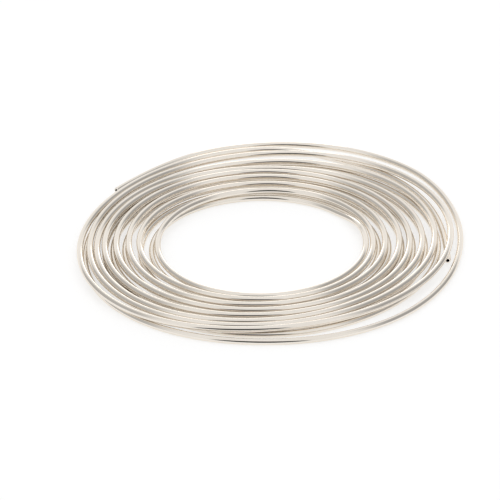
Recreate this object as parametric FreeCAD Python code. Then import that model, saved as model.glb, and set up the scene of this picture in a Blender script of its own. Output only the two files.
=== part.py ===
"""A flat coil of soft aluminium tube, wound in two layers round an open eye.

The coil lies on its lower layer.  The origin is the middle of the eye at floor level and +Z is the coil's axis.
Sizes are in millimetres.

The coil is one turned solid.  Its section holds one circle of the tube's own size for every turn, so the turns
stand out as round ridges on both ends, and a core fills the room between the two layers.  One last turn of the
lower layer lies loose outside the pack, and a flat web ties it to the rest.
"""

import FreeCAD
import Part

import os

# ---- driving sizes -------------------------------------------------------------------------------------------

TUBE_OD = 6.35          # quarter-inch tube
EYE_DIAMETER = 208.0    # clear opening inside the innermost turns
TURN_GAP = 4.55         # clear room between one turn and the next
PACKED_TURNS = 8        # turns in each of the two layers
LAYERS = 2
LOOSE_TURN_GAP = 11.2   # clear room between the pack and the loose turn
WEB_THICKNESS = 4.6     # the flat band that carries the loose turn

# ---- sizes that follow ---------------------------------------------------------------------------------------

TUBE_RADIUS = TUBE_OD / 2
TURN_PITCH = TUBE_OD + TURN_GAP
FIRST_TURN_RADIUS = EYE_DIAMETER / 2 + TUBE_RADIUS
PACK_RADIUS = FIRST_TURN_RADIUS + (PACKED_TURNS - 1) * TURN_PITCH + TUBE_RADIUS
LOOSE_TURN_RADIUS = PACK_RADIUS + LOOSE_TURN_GAP + TUBE_RADIUS
LOWEST_LAYER_Z = TUBE_RADIUS
HIGHEST_LAYER_Z = TUBE_RADIUS + (LAYERS - 1) * TUBE_OD

AXIS_POINT = FreeCAD.Vector(0, 0, 0)
AXIS_DIRECTION = FreeCAD.Vector(0, 0, 1)
SECTION_NORMAL = FreeCAD.Vector(0, -1, 0)
FULL_TURN = 360.0


def turn_section(radius, height):
    """The tube's round outline where one turn crosses the section plane, as a filled disc."""
    centre = FreeCAD.Vector(radius, 0, height)
    outline = Part.Circle(centre, SECTION_NORMAL, TUBE_RADIUS)
    return Part.Face(Part.Wire(outline.toShape()))


def block_section(inner_radius, outer_radius, bottom, top):
    """A filled rectangle in the section plane."""
    corners = [(inner_radius, bottom), (outer_radius, bottom), (outer_radius, top), (inner_radius, top)]
    points = [FreeCAD.Vector(radius, 0, height) for radius, height in corners]
    return Part.Face(Part.makePolygon(points + points[:1]))


def coil_section():
    """Half of the coil's cross-section: the core, every turn and the web, as one face."""
    core = block_section(EYE_DIAMETER / 2, PACK_RADIUS, LOWEST_LAYER_Z, HIGHEST_LAYER_Z)
    pieces = []
    for turn in range(PACKED_TURNS):
        radius = FIRST_TURN_RADIUS + turn * TURN_PITCH
        pieces.append(turn_section(radius, LOWEST_LAYER_Z))
        pieces.append(turn_section(radius, HIGHEST_LAYER_Z))
    web_bottom = LOWEST_LAYER_Z - WEB_THICKNESS / 2
    web_top = LOWEST_LAYER_Z + WEB_THICKNESS / 2
    pieces.append(block_section(PACK_RADIUS - TUBE_RADIUS, LOOSE_TURN_RADIUS, web_bottom, web_top))
    pieces.append(turn_section(LOOSE_TURN_RADIUS, LOWEST_LAYER_Z))
    return core.fuse(pieces).removeSplitter()


def coiled_tube():
    """The section turned once round the coil's axis."""
    return coil_section().revolve(AXIS_POINT, AXIS_DIRECTION, FULL_TURN).Solids[0]


def main():
    os.makedirs("parts", exist_ok=True)
    coil = coiled_tube()
    coil.exportStep("parts/coiled_tube.step")
    box = coil.optimalBoundingBox()
    print("coiled_tube: valid", coil.isValid(), "volume", round(coil.Volume, 1), "mm3")
    print("coiled_tube: size", round(box.XLength, 2), round(box.YLength, 2), round(box.ZLength, 2), "mm")


main()
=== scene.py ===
# %% [markdown]
# A coil of soft aluminium tube
#
# The real thing is one long piece of thin tube, wound on a former into a flat double spiral and taken off
# again. It starts at an open end outside, winds inwards on top, steps down at the eye and winds outwards
# underneath, and its last turn lies loose on the floor round the rest. The CAD frame holds a turned solid
# of the same size for weight and contact. This lesson makes the tube itself.

import bpy
import numpy as np
from mathutils import Matrix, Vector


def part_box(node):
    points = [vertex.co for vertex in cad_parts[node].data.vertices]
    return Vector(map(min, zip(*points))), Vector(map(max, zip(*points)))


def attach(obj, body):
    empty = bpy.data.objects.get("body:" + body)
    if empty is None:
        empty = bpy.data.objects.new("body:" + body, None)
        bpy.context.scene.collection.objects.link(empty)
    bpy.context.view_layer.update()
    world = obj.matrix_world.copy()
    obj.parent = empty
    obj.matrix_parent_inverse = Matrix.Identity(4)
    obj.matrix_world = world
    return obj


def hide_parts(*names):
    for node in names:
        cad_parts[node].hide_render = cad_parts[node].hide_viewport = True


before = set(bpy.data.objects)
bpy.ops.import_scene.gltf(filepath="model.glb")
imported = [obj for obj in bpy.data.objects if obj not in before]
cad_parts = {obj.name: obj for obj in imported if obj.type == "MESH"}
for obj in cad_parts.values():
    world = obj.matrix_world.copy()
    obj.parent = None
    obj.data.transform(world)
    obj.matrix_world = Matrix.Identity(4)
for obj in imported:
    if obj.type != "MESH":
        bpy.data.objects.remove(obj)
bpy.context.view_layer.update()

MM = 0.001
low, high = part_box("coiled_tube")

# %% [markdown]
# The tube
#
# Quarter-inch tube is 6.35 mm across with a wall of 0.889 mm, so its bore is 4.57 mm. The coil is two
# tubes high, and the frame's height gives the tube's diameter back, which ties this mesh to the CAD solid.

# %% Tube sizes
LAYERS = 2
TUBE_RADIUS = float(high[2] - low[2]) / MM / LAYERS / 2
WALL = 0.889
BORE_RADIUS = TUBE_RADIUS - WALL
LOWER = TUBE_RADIUS
UPPER = TUBE_RADIUS * 3
print("tube diameter", round(2 * TUBE_RADIUS, 3), "mm, bore", round(2 * BORE_RADIUS, 3), "mm")

# %% [markdown]
# The lie of the turns
#
# A machine could wind a perfect spiral, and a formula for it would be one line. A coil that has been
# handled is not like that: its turns creep towards one side, bunch up in front and spring out behind. So
# each row below is one turn, and its eight numbers are the distance in millimetres from the eye's middle
# to the tube's middle, an eighth of a turn apart: right, back right, back, back left, left, front left,
# front, front right. Read down the rows, they follow the tube from its first open end to its last. One
# number comes before the first row, front right, beyond the first open end. It is large because the tube's
# end is straighter than the turns and leaves them.

# %% Radii of the turns
TOP_TURNS = [
    [182.5, 196.0, 193.6, 176.5, 177.3, 182.1, 166.7, 168.3],
    [185.5, 199.4, 183.8, 169.8, 168.0, 171.2, 160.3, 157.3],
    [170.3, 179.5, 166.8, 159.4, 160.8, 163.4, 152.0, 148.1],
    [158.5, 161.2, 153.0, 152.4, 153.4, 152.1, 141.3, 140.7],
    [146.2, 149.1, 146.1, 143.3, 142.3, 139.5, 131.6, 131.2],
    [136.0, 139.8, 135.4, 132.8, 130.0, 127.8, 121.3, 119.6],
    [122.2, 125.3, 120.7, 119.3, 119.4, 115.6, 111.6, 111.0],
    [110.3, 111.9, 106.3, 102.5, 101.5, 105.2, 105.0, 103.6],
]
BOTTOM_TURNS = [
    [103.0, 104.7, 102.8, 103.5, 107.0, 110.0, 112.0, 114.0],
    [115.5, 115.0, 114.0, 116.0, 118.0, 122.0, 122.0, 123.5],
    [125.5, 127.0, 127.0, 130.0, 133.5, 134.0, 132.0, 134.0],
    [138.3, 139.0, 138.0, 141.0, 145.0, 146.0, 143.0, 145.0],
    [149.4, 150.0, 149.0, 150.0, 153.0, 155.5, 154.0, 157.0],
    [161.3, 163.0, 160.0, 160.0, 162.0, 165.0, 167.1, 167.0],
    [174.0, 176.7, 171.4, 169.0, 172.3, 181.2, 180.1, 187.2],
    [195.6, 215.5, 205.9, 187.5, 185.0],
]
LEAD_IN_RADIUS = 211.0
EYE_CENTRE = np.array([-3.0, -4.0])
POINTS_A_TURN = 8
radii = np.concatenate([[LEAD_IN_RADIUS]] + [np.array(turn) for turn in TOP_TURNS + BOTTOM_TURNS])
print("numbers:", len(radii))

# %% [markdown]
# How high each stretch lies
#
# The top turns lie one tube diameter above the floor and the bottom turns lie on it. There are three
# changes of level. The first open end lies on the floor outside the pack, and the tube climbs from it to
# the top layer further round, at the back. At the eye the tube steps down from the top layer to the bottom
# one. The last turn springs a little off the floor at the back.

# %% Heights of the turns
SPRUNG = 8.0
SINKING = 4.0
FIRST_END_HEIGHTS = [LOWER, LOWER, LOWER, UPPER]
LAST_TURN_HEIGHTS = [LOWER, SPRUNG, SPRUNG, SINKING, LOWER]
top_count = 1 + len(TOP_TURNS) * POINTS_A_TURN
heights = np.full(len(radii), LOWER)
heights[:top_count + 1] = UPPER
heights[:len(FIRST_END_HEIGHTS)] = FIRST_END_HEIGHTS
heights[-len(LAST_TURN_HEIGHTS):] = LAST_TURN_HEIGHTS
print("numbers on top:", int(np.sum(heights == UPPER)))


# %% Smooth curve through the numbers
def smooth_through(values, where):
    """A curve through values at 0, 1, 2, ..., read at the places in where.

    It is the natural cubic spline: between two numbers it is a cubic, and slope and bend carry on unbroken
    from one to the next. Its bends m solve m[i-1] + 4 m[i] + m[i+1] = 6 (v[i-1] - 2 v[i] + v[i+1]), with none
    at the two ends. At a share t of the way from v0 to v1 the curve is
    (1-t) v0 + t v1 + ((1-t)^3 - (1-t)) m0 / 6 + (t^3 - t) m1 / 6.
    """
    count = len(values)
    system = np.eye(count)
    inner = np.arange(1, count - 1)
    system[inner, inner - 1] = 1
    system[inner, inner] = 4
    system[inner, inner + 1] = 1
    bends = np.zeros(count)
    bends[1:-1] = 6 * (values[:-2] - 2 * values[1:-1] + values[2:])
    bends = np.linalg.solve(system, bends)
    before = np.clip(np.floor(where).astype(int), 0, count - 2)
    share = where - before
    rest = 1 - share
    straight = rest * values[before] + share * values[before + 1]
    return straight + (rest ** 3 - rest) * bends[before] / 6 + (share ** 3 - share) * bends[before + 1] / 6


RAMP_START = 0.32


def stepped(values, where):
    """Levels joined by smooth ramps, which never pass them: v0 + (v1 - v0) (3 t^2 - 2 t^3).

    A ramp starts only when the tube is RAMP_START of the way to the next number, clear of the turn beside it.
    """
    before = np.clip(np.floor(where).astype(int), 0, len(values) - 2)
    share = np.clip((where - before - RAMP_START) / (1 - RAMP_START), 0, 1)
    return values[before] + (values[before + 1] - values[before]) * (3 * share ** 2 - 2 * share ** 3)


# %% [markdown]
# The middle line
#
# The tube's middle line runs once round for every eight numbers. The first open end lies just short of the
# first row's first number, at the right, and the last open end just past the last row's back left.

# %% Middle line of the tube
RINGS_A_TURN = 200
FULL_TURN = 360
FIRST_END_DEGREES = -7.6
LAST_END_DEGREES = 141.3
first_place = 1 + FIRST_END_DEGREES / FULL_TURN * POINTS_A_TURN
last_row_place = top_count + (len(BOTTOM_TURNS) - 1) * POINTS_A_TURN
last_place = last_row_place + LAST_END_DEGREES / FULL_TURN * POINTS_A_TURN
turn_count = (last_place - first_place) / POINTS_A_TURN
ring_count = int(turn_count * RINGS_A_TURN)
places = np.linspace(first_place, last_place, ring_count)


def middle_line(place):
    """Points in millimetres, (place - 1) / 8 turns round the eye, at the distance and height of that place."""
    angle = (place - 1) / POINTS_A_TURN * 2 * np.pi
    distance = smooth_through(radii, place)
    x = EYE_CENTRE[0] + distance * np.cos(angle)
    y = EYE_CENTRE[1] + distance * np.sin(angle)
    return np.stack([x, y, stepped(heights, place)], axis=-1)


line = middle_line(places)
steps = np.linalg.norm(np.diff(line, axis=0), axis=1)
along = np.concatenate([[0.0], np.cumsum(steps)])
print("tube length", round(along[-1] * MM, 2), "m in", round(turn_count, 2), "turns and", ring_count, "rings")

# %% [markdown]
# Carrying a circle along the line
#
# A curve object with a round bevel would give the outside of the tube, but not its cut ends with their
# wall and bore. So the surface is worked out here: a circle is carried along the line, and at each end it
# steps in over the cut face and runs back down the bore to a plug out of sight. It is one skin from plug
# to plug.


# %% Sweep helpers
def directions(points):
    """Three unit vectors at each point of a line: along it, level across it, and up across both.

    Along is the difference of the neighbours. Level is along x up. The third is level x along.
    """
    forward = np.gradient(points, axis=0)
    forward = forward / np.linalg.norm(forward, axis=1, keepdims=True)
    level = np.cross(forward, np.array([0.0, 0.0, 1.0]))
    level = level / np.linalg.norm(level, axis=1, keepdims=True)
    return forward, level, np.cross(level, forward)


def sweep(centres, level, upright, ring_radii, sides):
    """A grid of points: centre + radius (cos a level + sin a upright), for each ring and side's angle a."""
    angle = np.arange(sides) / sides * 2 * np.pi
    across = np.cos(angle)[None, :, None] * level[:, None, :]
    upward = np.sin(angle)[None, :, None] * upright[:, None, :]
    return centres[:, None, :] + ring_radii[:, None, None] * (across + upward)


# %% Stations from plug to plug
TUBE_SIDES = 28
BORE_RINGS = 8
CUT_ROUND = 0.4
ROLLED_IN = 0.5
forward, level, upright = directions(line)


def end_stations(end, inwards):
    """Ring numbers, shifts along the tube and radii from the plug in the bore out over the cut face.

    A tube cutter's wheel rolls the wall inwards, so the mouth is narrower than the bore behind it.
    """
    bore = end + inwards * np.arange(BORE_RINGS, 0, -1)
    rings = np.concatenate([bore, [end, end, end]])
    shifts = np.zeros(len(rings))
    shifts[-3] = inwards * CUT_ROUND
    ring_radii = np.full(len(rings), BORE_RADIUS)
    ring_radii[-2] = BORE_RADIUS - ROLLED_IN
    ring_radii[-1] = TUBE_RADIUS - CUT_ROUND
    return rings, shifts, ring_radii


first = end_stations(0, 1)
last = end_stations(ring_count - 1, -1)
outside = np.arange(ring_count)
outside_shift = np.zeros(ring_count)
outside_shift[0] = CUT_ROUND
outside_shift[-1] = -CUT_ROUND
station = np.concatenate([first[0], outside, last[0][::-1]])
shift = np.concatenate([first[1], outside_shift, last[1][::-1]])
ring_radii = np.concatenate([first[2], np.full(ring_count, TUBE_RADIUS), last[2][::-1]])
centres = line[station] + shift[:, None] * forward[station]
rings = sweep(centres, level[station], upright[station], ring_radii, TUBE_SIDES)
print("stations:", len(station), "bore depth", round(along[BORE_RINGS], 1), "mm")


# %% [markdown]
# From grid to mesh
#
# Neighbouring rings are joined by four-sided faces and the two plugs are fans round a middle point. The
# tube also carries its own map: u runs along it in metres and v once round it, so that the marks of
# drawing can follow it.

# %% Build the mesh
SHARP_DEGREES = 40


def ring_faces(ring_total, sides):
    """Four-sided faces between each ring and the next."""
    ring, side = np.meshgrid(np.arange(ring_total - 1), np.arange(sides), indexing="ij")
    ring = ring.ravel()
    side = side.ravel()
    beside = (side + 1) % sides
    return np.stack([ring * sides + side, ring * sides + beside,
                     (ring + 1) * sides + beside, (ring + 1) * sides + side], axis=-1)


def fan_faces(first_corner, sides, middle, flipped):
    """Three-sided faces from one ring to a middle point."""
    side = np.arange(sides)
    near = first_corner + side
    beside = first_corner + (side + 1) % sides
    if flipped:
        near, beside = beside, near
    return np.stack([beside, near, np.full(sides, middle)], axis=-1)


def tube_mesh(name, rings, along_tube):
    """One closed mesh from the grid of rings, with its own map of metres along and turns round.

    The map's v is 0 at a ring's first corner. Where the last side closes the ring, that corner counts as 1.
    """
    ring_total, sides = rings.shape[:2]
    points = np.concatenate([rings.reshape(-1, 3), rings[[0, -1]].mean(axis=1)]) * MM
    walls = ring_faces(ring_total, sides)
    plugs = np.concatenate([fan_faces(0, sides, ring_total * sides, False),
                            fan_faces((ring_total - 1) * sides, sides, ring_total * sides + 1, True)])
    mesh = bpy.data.meshes.new(name)
    mesh.from_pydata(points.tolist(), [], walls.tolist() + plugs.tolist())
    corner_u = along_tube[np.minimum(np.arange(len(points)) // sides, ring_total - 1)] * MM
    corner_point = np.empty(len(mesh.loops), dtype=np.int32)
    mesh.loops.foreach_get("vertex_index", corner_point)
    corner_side = (np.arange(len(points)) % sides) / sides
    uv = np.stack([corner_u[corner_point], corner_side[corner_point]], axis=-1)
    wall_corners = uv[:len(walls) * 4].reshape(-1, 4, 2)
    closing = wall_corners[:, 0, 1] > (sides - 1.5) / sides
    wall_corners[closing, 1, 1] = 1.0
    wall_corners[closing, 2, 1] = 1.0
    mesh.uv_layers.new(name="tube_map").data.foreach_set("uv", uv.ravel())
    mesh.polygons.foreach_set("use_smooth", np.ones(len(mesh.polygons), dtype=bool))
    mesh.set_sharp_from_angle(angle=np.radians(SHARP_DEGREES))
    mesh.update()
    return mesh


coil = bpy.data.objects.new("wound_tube", tube_mesh("wound_tube", rings, along[station]))
bpy.context.collection.objects.link(coil)
print("faces:", len(coil.data.polygons), "triangles:", sum(len(p.vertices) - 2 for p in coil.data.polygons))

# %% [markdown]
# Bright drawn aluminium
#
# Tube is pulled through a die, which leaves the metal bright, with faint lines along its length. Aluminium
# is a little warm where light bounces between neighbouring turns, so the base colour is a warm white and
# the shader is fully metallic. The lines are a noise stretched along the tube's own map, used as a slight
# bump and as a change of roughness, so that a highlight breaks up as it does on drawn metal.


# %% Metal
EDGE_TINT = (1.0, 0.98, 0.95, 1.0)
DARKER_METAL = (0.83, 0.775, 0.70, 1.0)
LIGHTER_METAL = (0.87, 0.815, 0.745, 1.0)
TONE_SPAN = (0.35, 0.65)
LINE_STRETCH = (6.0, 40.0, 1.0)
LINE_SPAN = (0.3, 0.7)
SMOOTHEST = 0.05
ROUGHEST = 0.11
LINE_DEPTH = 0.0001
LINE_STRENGTH = 0.06
CLOUDS_A_METRE = 18.0


def node(tree, kind, x, y, **values):
    """Adds one shader node at a place in the tree's drawing and sets its named inputs or settings."""
    made = tree.nodes.new(kind)
    made.location = (x, y)
    for name, value in values.items():
        if name in made.inputs:
            made.inputs[name].default_value = value
        else:
            setattr(made, name, value)
    return made


def drawn_aluminium():
    """Metal with draw lines along the tube and slow changes of tone over the coil."""
    material = bpy.data.materials.new("drawn_aluminium")
    material.use_nodes = True
    tree = material.node_tree
    shader = tree.nodes["Principled BSDF"]
    shader.inputs["Metallic"].default_value = 1.0
    shader.inputs["Specular Tint"].default_value = EDGE_TINT
    own_map = node(tree, "ShaderNodeUVMap", -1300, 0, uv_map="tube_map")
    stretch = node(tree, "ShaderNodeMapping", -1100, 0)
    stretch.inputs["Scale"].default_value = LINE_STRETCH
    lines = node(tree, "ShaderNodeTexNoise", -900, 0, Scale=1.0, Detail=4.0, Roughness=0.6)
    place = node(tree, "ShaderNodeTexCoord", -1300, -400)
    cloud = node(tree, "ShaderNodeTexNoise", -900, -400, Scale=CLOUDS_A_METRE, Detail=3.0, Roughness=0.5)
    tree.links.new(own_map.outputs["UV"], stretch.inputs["Vector"])
    tree.links.new(stretch.outputs["Vector"], lines.inputs["Vector"])
    tree.links.new(place.outputs["Object"], cloud.inputs["Vector"])
    tone = node(tree, "ShaderNodeValToRGB", -600, 200)
    for element, position, colour in zip(tone.color_ramp.elements, TONE_SPAN, (DARKER_METAL, LIGHTER_METAL)):
        element.position = position
        element.color = colour
    tree.links.new(cloud.outputs["Fac"], tone.inputs["Fac"])
    tree.links.new(tone.outputs["Color"], shader.inputs["Base Color"])
    gloss = node(tree, "ShaderNodeMapRange", -600, -100)
    gloss.inputs["From Min"].default_value = LINE_SPAN[0]
    gloss.inputs["From Max"].default_value = LINE_SPAN[1]
    gloss.inputs["To Min"].default_value = SMOOTHEST
    gloss.inputs["To Max"].default_value = ROUGHEST
    tree.links.new(lines.outputs["Fac"], gloss.inputs["Value"])
    tree.links.new(gloss.outputs["Result"], shader.inputs["Roughness"])
    relief = node(tree, "ShaderNodeBump", -300, -300, Strength=LINE_STRENGTH, Distance=LINE_DEPTH)
    tree.links.new(lines.outputs["Fac"], relief.inputs["Height"])
    tree.links.new(relief.outputs["Normal"], shader.inputs["Normal"])
    return material


coil.data.materials.append(drawn_aluminium())
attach(coil, "root")
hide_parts("coiled_tube")
print("finish:", coil.data.materials[0].name)

# %% [markdown]
# Camera
#
# The coil lies flat and is seen from in front and well above, from far away through a long lens, so that
# near and far turns look almost the same size.

# %% Place the camera
EYE_LEVEL_DEGREES = 29.5
DISTANCE = 4.0
FRAME_WIDTH = 0.492
SIDE_STEP = -0.0108
RISE = 0.0010
SENSOR_WIDTH = 36.0
FARTHEST_SEEN = 100.0
tilt = np.radians(EYE_LEVEL_DEGREES)
looking = np.array([0.0, np.cos(tilt), -np.sin(tilt)])
camera_up = np.array([0.0, np.sin(tilt), np.cos(tilt)])
aim = np.array([EYE_CENTRE[0] * MM + SIDE_STEP, EYE_CENTRE[1] * MM, 0.0]) + camera_up * RISE
camera_data = bpy.data.cameras.new("camera")
camera_data.sensor_width = SENSOR_WIDTH
camera_data.lens = SENSOR_WIDTH * DISTANCE / FRAME_WIDTH
camera_data.clip_end = FARTHEST_SEEN
camera = bpy.data.objects.new("camera", camera_data)
camera.matrix_world = Matrix.Translation(aim - looking * DISTANCE) @ Matrix.Rotation(np.pi / 2 - tilt, 4, "X")
bpy.context.collection.objects.link(camera)
bpy.context.scene.camera = camera
print("lens", round(camera_data.lens, 1), "mm at", DISTANCE, "m")

# %% [markdown]
# Floor
#
# Bright metal has little colour of its own: what it shows is the room. The room begins with a white table,
# which is a plain disc. It glows just enough to look white to the camera and in reflections, and still
# takes the coil's shadow.


# %% Floor
TABLE_RADIUS = 12.0
TABLE_GREY = (0.58, 0.58, 0.58, 1.0)
TABLE_GLOW = 0.59
WHITE = (1.0, 1.0, 1.0, 1.0)


def round_sheet(name, radius, sides=96):
    """A flat disc at floor level, as one face whose corners lie on a circle."""
    angle = np.arange(sides) / sides * 2 * np.pi
    corners = np.stack([np.cos(angle), np.sin(angle), np.zeros(sides)], axis=-1) * radius
    mesh = bpy.data.meshes.new(name)
    mesh.from_pydata(corners.tolist(), [], [list(range(sides))])
    made = bpy.data.objects.new(name, mesh)
    bpy.context.collection.objects.link(made)
    return made


def seen_directly(tree, x, y):
    """1 for camera, mirror and glass rays, and 0 for the rays that only carry light."""
    path = node(tree, "ShaderNodeLightPath", x, y)
    either = node(tree, "ShaderNodeMath", x + 200, y, operation="ADD")
    every = node(tree, "ShaderNodeMath", x + 400, y, operation="ADD", use_clamp=True)
    tree.links.new(path.outputs["Is Camera Ray"], either.inputs[0])
    tree.links.new(path.outputs["Is Glossy Ray"], either.inputs[1])
    tree.links.new(either.outputs[0], every.inputs[0])
    tree.links.new(path.outputs["Is Transmission Ray"], every.inputs[1])
    return every.outputs[0]


def white_table():
    """Matt white that takes shadows, with a glow that lifts it to white where it is seen."""
    material = bpy.data.materials.new("white_table")
    material.use_nodes = True
    tree = material.node_tree
    tree.nodes.clear()
    matt = node(tree, "ShaderNodeBsdfDiffuse", 0, 0, Color=TABLE_GREY)
    glow = node(tree, "ShaderNodeEmission", 0, -200, Color=WHITE)
    lift = node(tree, "ShaderNodeMath", -200, -200, operation="MULTIPLY")
    lift.inputs[1].default_value = TABLE_GLOW
    tree.links.new(seen_directly(tree, -900, -200), lift.inputs[0])
    tree.links.new(lift.outputs[0], glow.inputs["Strength"])
    both = node(tree, "ShaderNodeAddShader", 250, 0)
    tree.links.new(matt.outputs[0], both.inputs[0])
    tree.links.new(glow.outputs[0], both.inputs[1])
    output = node(tree, "ShaderNodeOutputMaterial", 450, 0)
    tree.links.new(both.outputs[0], output.inputs["Surface"])
    return material


table = round_sheet("table", TABLE_RADIUS)
table.data.materials.append(white_table())
print("table:", TABLE_RADIUS * 2, "m across")


# %% [markdown]
# The room as a dome
#
# Instead of building a whole room, the world is painted as the studio looks from the coil. It is a soft
# white ceiling that comes down on both sides of the viewer, grey sides, a bright wall behind the coil, and
# a dark patch low in front where the viewer stands. The brightness depends only on the direction, as it
# does for a room that is large beside the coil.

# %% Studio dome
CEILING = 0.92
SIDE = {"height": 12, "half_width": 48, "half_height": 52, "edge": 0.28}
LEFT = {**SIDE, "turn": -108, "brightness": 0.52}
RIGHT = {**SIDE, "turn": 108, "brightness": 0.42}
BACK = {"turn": 180, "height": 0, "half_width": 50, "half_height": 30, "edge": 0.12, "brightness": 0.99}
VIEWER = {"turn": -2, "height": 8, "half_width": 24, "half_height": 42, "edge": 0.12, "brightness": 0.06}


def patch_share(tree, compass, height, patch, x, y):
    """1 inside an ellipse of the dome and 0 outside it, with a soft edge given as a share of its size.

    With (a, b) the patch's middle, its edge is where ((compass - a) / half_width)^2 and
    ((height - b) / half_height)^2 add up to 1. The patch is given in degrees, and the dome is in radians.
    """
    joined = node(tree, "ShaderNodeCombineXYZ", x, y)
    away = node(tree, "ShaderNodeVectorMath", x + 200, y, operation="SUBTRACT")
    scaled = node(tree, "ShaderNodeVectorMath", x + 400, y, operation="DIVIDE")
    reach = node(tree, "ShaderNodeVectorMath", x + 600, y, operation="LENGTH")
    fall = node(tree, "ShaderNodeMapRange", x + 800, y, interpolation_type="SMOOTHSTEP")
    away.inputs[1].default_value = (np.radians(patch["turn"]), np.radians(patch["height"]), 0.0)
    scaled.inputs[1].default_value = (np.radians(patch["half_width"]), np.radians(patch["half_height"]), 1.0)
    fall.inputs["From Min"].default_value = 1 - patch["edge"]
    fall.inputs["From Max"].default_value = 1 + patch["edge"]
    fall.inputs["To Min"].default_value = 1.0
    fall.inputs["To Max"].default_value = 0.0
    tree.links.new(compass, joined.inputs[0])
    tree.links.new(height, joined.inputs[1])
    tree.links.new(joined.outputs[0], away.inputs[0])
    tree.links.new(away.outputs[0], scaled.inputs[0])
    tree.links.new(scaled.outputs[0], reach.inputs[0])
    tree.links.new(reach.outputs["Value"], fall.inputs["Value"])
    return fall.outputs["Result"]


def paint(tree, under, share, brightness, x, y):
    """under + share x (brightness - under): paints a brightness over what is there."""
    mixed = node(tree, "ShaderNodeMix", x, y, data_type="FLOAT")
    tree.links.new(share, mixed.inputs[0])
    tree.links.new(under, mixed.inputs[2])
    mixed.inputs[3].default_value = brightness
    return mixed.outputs[0]


def compass_and_height(tree):
    """Two angles of each direction: the turn from the viewer, to the right positive, and the height."""
    ways = node(tree, "ShaderNodeTexCoord", -2400, 0)
    parts = node(tree, "ShaderNodeSeparateXYZ", -2200, 0)
    towards = node(tree, "ShaderNodeMath", -2000, 150, operation="MULTIPLY")
    towards.inputs[1].default_value = -1.0
    compass = node(tree, "ShaderNodeMath", -1800, 150, operation="ARCTAN2")
    height = node(tree, "ShaderNodeMath", -1800, -150, operation="ARCSINE")
    tree.links.new(ways.outputs["Generated"], parts.inputs[0])
    tree.links.new(parts.outputs["Y"], towards.inputs[0])
    tree.links.new(parts.outputs["X"], compass.inputs[0])
    tree.links.new(towards.outputs[0], compass.inputs[1])
    tree.links.new(parts.outputs["Z"], height.inputs[0])
    return compass.outputs[0], height.outputs[0]


def studio():
    """A world whose light depends on the compass direction and the height above the horizon.

    The back is painted with the turn taken without its sign, since it spans both ends of the compass.
    """
    world = bpy.data.worlds.new("studio")
    world.use_nodes = True
    tree = world.node_tree
    tree.nodes.clear()
    compass, height = compass_and_height(tree)
    turned = node(tree, "ShaderNodeMath", -1600, -300, operation="ABSOLUTE")
    tree.links.new(compass, turned.inputs[0])
    ceiling = node(tree, "ShaderNodeValue", -400, 600)
    ceiling.outputs[0].default_value = CEILING
    light = ceiling.outputs[0]
    patches = [(compass, LEFT), (compass, RIGHT), (turned.outputs[0], BACK), (compass, VIEWER)]
    for row, (angle, patch) in enumerate(patches):
        share = patch_share(tree, angle, height, patch, -1400, 400 - 200 * row)
        light = paint(tree, light, share, patch["brightness"], -200 + 200 * row, 300 - 100 * row)
    sky = node(tree, "ShaderNodeBackground", 800, 0, Color=WHITE)
    tree.links.new(light, sky.inputs["Strength"])
    output = node(tree, "ShaderNodeOutputWorld", 1000, 0)
    tree.links.new(sky.outputs[0], output.inputs["Surface"])
    return world


bpy.context.scene.world = studio()
bpy.context.scene.view_settings.view_transform = "Standard"
print("world:", bpy.context.scene.world.name)

# %% [markdown]
# The lamp behind
#
# One lamp with a white diffuser stands close behind the coil, out of the frame. Being near, it lies to the
# right of straight back for the turns at the left, and to the left for those at the right, so both sides
# carry their white line on the inner half of the tube. Its power comes from how bright the diffuser looks:
# an even diffuser of brightness b and area A gives off pi b A.

# %% Lamp
DIFFUSER_WIDTH = 0.20
DIFFUSER_HEIGHT = 0.16
DIFFUSER_BRIGHTNESS = 1.4
LAMP_PLACE = (0.0, 0.62, 0.17)
lamp_data = bpy.data.lights.new("lamp_behind", "AREA")
lamp_data.shape = "RECTANGLE"
lamp_data.size = DIFFUSER_WIDTH
lamp_data.size_y = DIFFUSER_HEIGHT
lamp_data.energy = np.pi * DIFFUSER_BRIGHTNESS * DIFFUSER_WIDTH * DIFFUSER_HEIGHT
lamp = bpy.data.objects.new("lamp_behind", lamp_data)
lamp.matrix_world = Matrix.Translation(LAMP_PLACE) @ Matrix.Rotation(-np.pi / 2, 4, "X")
bpy.context.collection.objects.link(lamp)
print("lamp power", round(lamp_data.energy, 3), "W")
